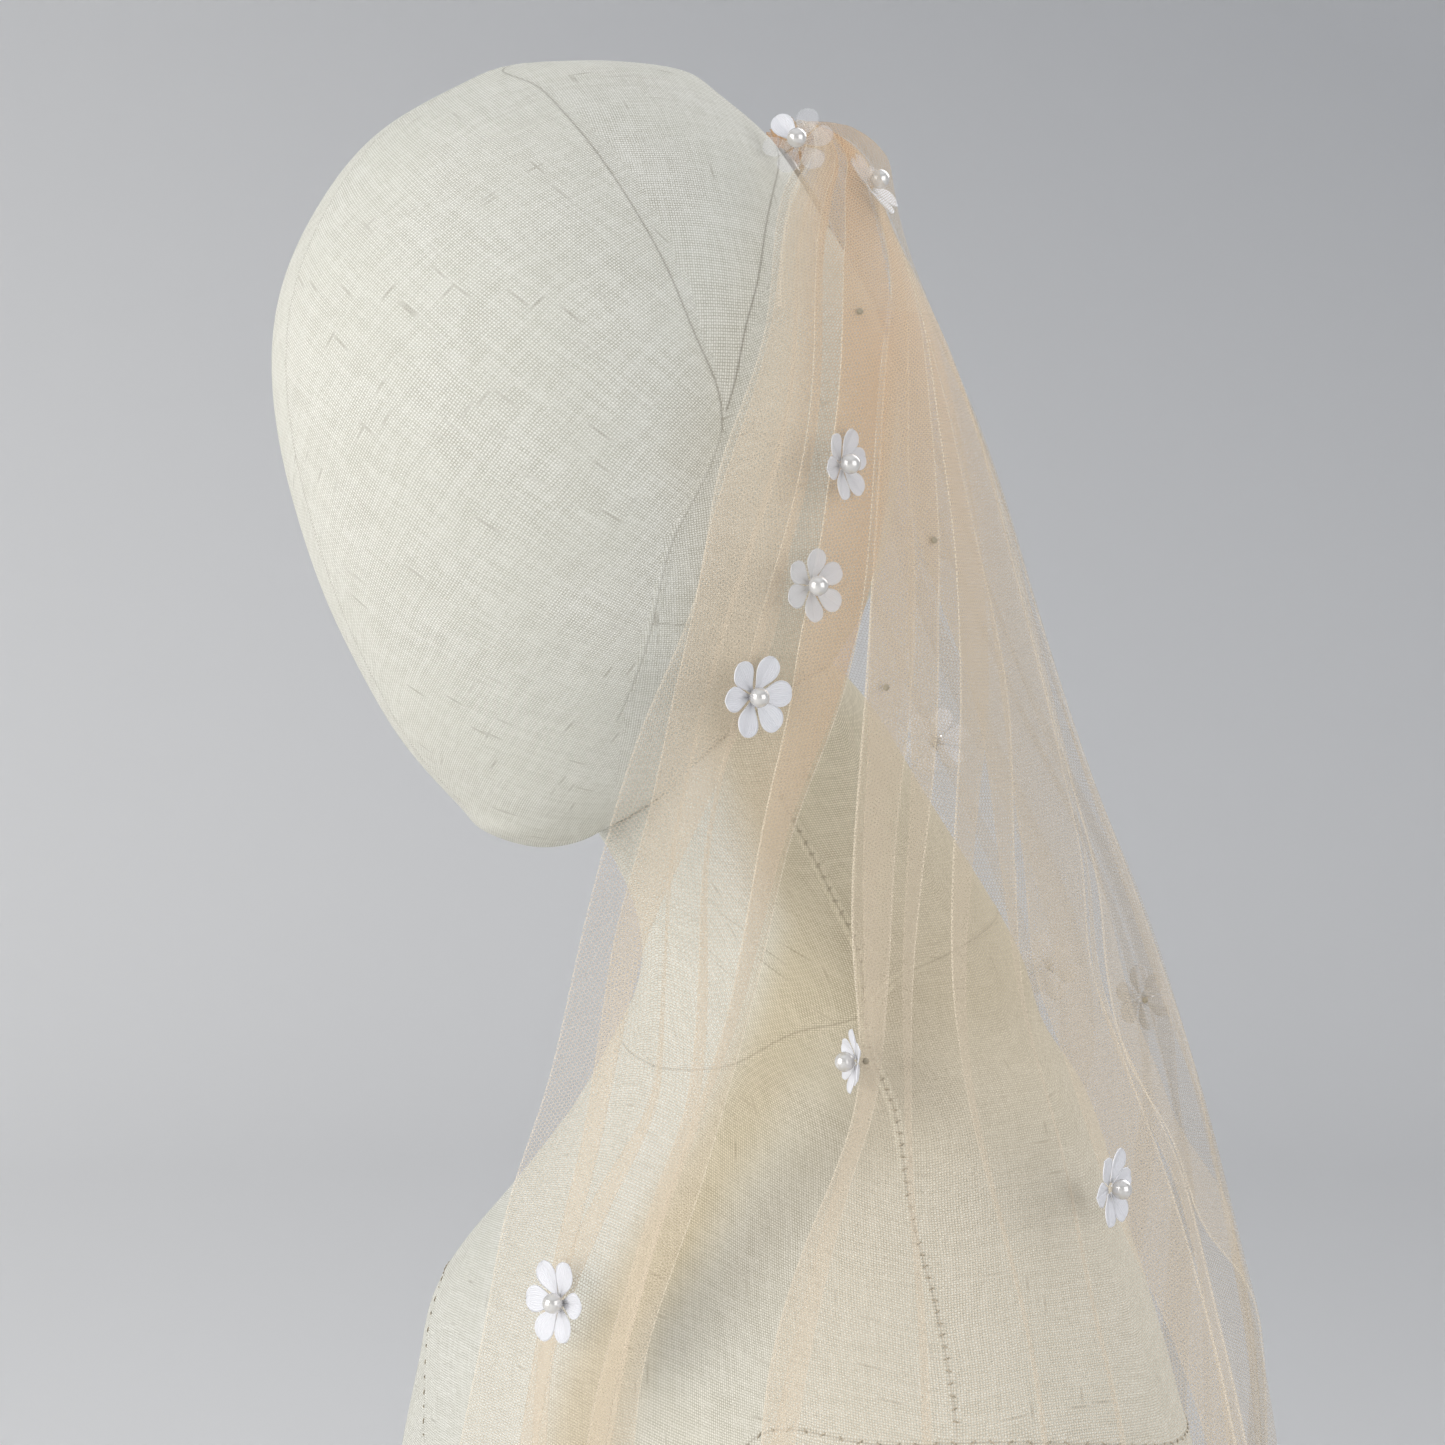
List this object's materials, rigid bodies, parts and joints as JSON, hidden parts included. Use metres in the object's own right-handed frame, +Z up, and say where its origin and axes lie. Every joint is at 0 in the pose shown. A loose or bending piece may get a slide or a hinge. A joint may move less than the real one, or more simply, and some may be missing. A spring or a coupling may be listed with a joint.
{
  "type": "bridal veil on dress form",
  "caption": "Long gathered net bridal veil with satin flowers and pearls, on a comb at the crown of a linen head-and-torso dress form with wooden arm caps.",
  "frame": {"origin": "centre of the whole part's outline, at the level of the surface that the form stands on", "axes": "+Z up, -Y the way the form faces, +X to the form's left"},
  "size_m": [0.4148, 0.305, 0.6769],
  "materials": {
    "linen": "off-white plain-weave linen with dark slubs, stretched over a firm body",
    "arm_cap_wood": "brown varnished wood",
    "comb_metal": "plain drawn wire",
    "champagne_net": "soft champagne-peach hexagonal net, see-through",
    "white_satin": "white satin, one crease along each petal",
    "pearl": "silvery-white imitation pearl"
  },
  "bodies": {
    "root": {"dress_form": "linen", "arm_cap_left": "arm_cap_wood", "arm_cap_right": "arm_cap_wood", "comb": "comb_metal", "veil_gather": "champagne_net", "veil_front_fall": "champagne_net", "veil_back_near": "champagne_net", "veil_back_far": "champagne_net", "flower_01": "white_satin", "flower_02": "white_satin", "flower_03": "white_satin", "flower_04": "white_satin", "flower_05": "white_satin", "flower_06": "white_satin", "flower_07": "white_satin", "flower_08": "white_satin", "flower_09": "white_satin", "flower_10": "white_satin", "flower_11": "white_satin", "flower_12": "white_satin", "flower_13": "white_satin", "flower_14": "white_satin", "flower_15": "white_satin", "flower_16": "white_satin", "flower_17": "white_satin", "flower_18": "white_satin", "flower_19": "white_satin", "flower_20": "white_satin", "flower_21": "white_satin", "pearl_01": "pearl", "pearl_02": "pearl", "pearl_03": "pearl", "pearl_04": "pearl", "pearl_05": "pearl", "pearl_06": "pearl", "pearl_07": "pearl", "pearl_08": "pearl", "pearl_09": "pearl", "pearl_10": "pearl", "pearl_11": "pearl", "pearl_12": "pearl", "pearl_13": "pearl", "pearl_14": "pearl", "pearl_15": "pearl", "pearl_16": "pearl", "pearl_17": "pearl", "pearl_18": "pearl", "pearl_19": "pearl", "pearl_20": "pearl", "pearl_21": "pearl"}
  },
  "joints": []
}
